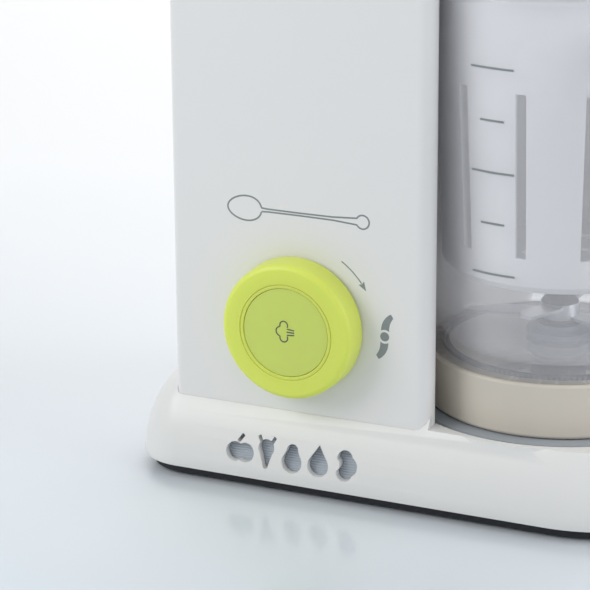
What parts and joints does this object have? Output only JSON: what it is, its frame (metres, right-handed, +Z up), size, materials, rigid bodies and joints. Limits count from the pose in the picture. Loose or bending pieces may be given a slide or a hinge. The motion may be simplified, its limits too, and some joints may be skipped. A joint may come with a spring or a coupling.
{
  "type": "baby food maker",
  "caption": "Baby food maker: upright steam and blend column with a round push-and-turn knob, on a flared base that carries a lidded jug with blades and a steam basket.",
  "frame": {"origin": "on the floor under the middle of the overall box", "axes": "+X to the right seen from the front, +Y from the front panel towards the back, +Z up"},
  "size_m": [0.232, 0.16, 0.2769],
  "materials": {
    "white_shell": "satin moulded ABS",
    "lime": "soft satin, translucent lime",
    "dull_lime": "fine matt",
    "ink": "printed",
    "black_plastic": "moulded",
    "grey_plastic": "moulded",
    "warm_grey": "moulded",
    "clear_jug": null,
    "steel": "sheet and turned steel",
    "rubber": "moulded",
    "silicone": "translucent silicone",
    "brass": "turned",
    "board": "circuit board"
  },
  "bodies": {
    "cabinet": {"base_shell": "white_shell", "base_plate": "black_plastic", "rubber_feet": "rubber", "case_screws": "steel", "window_insert": "grey_plastic", "seat_ring": "grey_plastic", "dish_seal": "rubber", "front_panel": "white_shell", "rear_housing": "white_shell", "cradle_wall": "white_shell", "top_cap": "white_shell", "panel_marks": "ink", "cord_gland": "black_plastic", "terminal_block": "black_plastic", "motor_can": "steel", "motor_bracket": "steel", "drive_belt": "rubber", "drive_bearings": "brass", "bearing_carrier": "steel", "tank": "steel", "tank_collar": "grey_plastic", "heating_element": "steel", "tank_bracket": "steel", "thermostats": "black_plastic", "steam_pipe": "grey_plastic", "steam_port": "grey_plastic", "control_board": "board", "board_posts": "white_shell", "turn_switch": "black_plastic", "push_switch": "black_plastic", "knob_bush": "grey_plastic", "hinge_bracket": "white_shell", "lid_hinge_pin": "steel"},
    "knob": {"control_knob": "lime", "knob_shaft": "steel"},
    "button": {"steam_button": "dull_lime", "button_mark": "ink"},
    "tank_cover": {"tank_lid": "white_shell", "tank_lid_seal": "silicone", "lever_pin": "steel"},
    "lever": {"lock_lever": "lime"},
    "motor": {"motor_rotor": "steel", "motor_fan": "black_plastic", "motor_pulley": "brass"},
    "drive": {"drive_pulley": "black_plastic", "drive_spindle": "steel", "drive_coupler": "black_plastic"},
    "jug": {"jug_bowl": "clear_jug", "jug_marks": "ink", "jug_gasket": "rubber", "jug_collar": "warm_grey", "jug_handle": "white_shell", "blade_bush": "grey_plastic"},
    "blade": {"blade_set": "steel", "blade_hub": "black_plastic", "blade_coupler": "black_plastic"},
    "basket": {"steam_basket": "grey_plastic"},
    "jug_cover": {"jug_lid": "white_shell", "lid_seal": "silicone", "lid_inlet": "grey_plastic"}
  },
  "joints": [
    {"name": "knob_turn", "type": "hinge", "parent": "cabinet", "child": "knob", "pos_m": [-0.0435, -0.0675, 0.0695], "axis": [0, 1, 0], "range_deg": [0, 45], "stiffness_Nm_per_rad": 0.06},
    {"name": "steam_press", "type": "slide", "parent": "knob", "child": "button", "axis": [0, 1, 0], "range_m": [0, 0.0025], "stiffness_N_per_m": 900},
    {"name": "tank_lid_open", "type": "hinge", "parent": "cabinet", "child": "tank_cover", "pos_m": [-0.06, 0.033, 0.2662], "axis": [-1, 0, 0], "range_deg": [0, 95]},
    {"name": "lever_lift", "type": "hinge", "parent": "tank_cover", "child": "lever", "pos_m": [-0.06, 0.0065, 0.2735], "axis": [-1, 0, 0], "range_deg": [0, 80]},
    {"name": "drive_spin", "type": "hinge", "parent": "cabinet", "child": "drive", "pos_m": [0.0415, -0.0055, 0.02], "axis": [0, 0, 1], "continuous": true},
    {"name": "motor_spin", "type": "hinge", "parent": "cabinet", "child": "motor", "pos_m": [-0.058, -0.003, 0.06], "axis": [0, 0, 1], "continuous": true},
    {"name": "jug_lift", "type": "slide", "parent": "cabinet", "child": "jug", "axis": [0, 0, 1], "range_m": [0, 0.2]},
    {"name": "blade_spin", "type": "hinge", "parent": "jug", "child": "blade", "pos_m": [0.0415, -0.0055, 0.068], "axis": [0, 0, 1], "continuous": true},
    {"name": "basket_lift", "type": "slide", "parent": "jug", "child": "basket", "axis": [0, 0, 1], "range_m": [0, 0.13]},
    {"name": "lid_lift", "type": "slide", "parent": "basket", "child": "jug_cover", "axis": [0, 0, 1], "range_m": [0, 0.06]}
  ],
  "couplings": [
    {"joint": "motor_spin", "follows": "drive_spin", "ratio": 2.8889},
    {"joint": "blade_spin", "follows": "drive_spin", "ratio": 1}
  ]
}
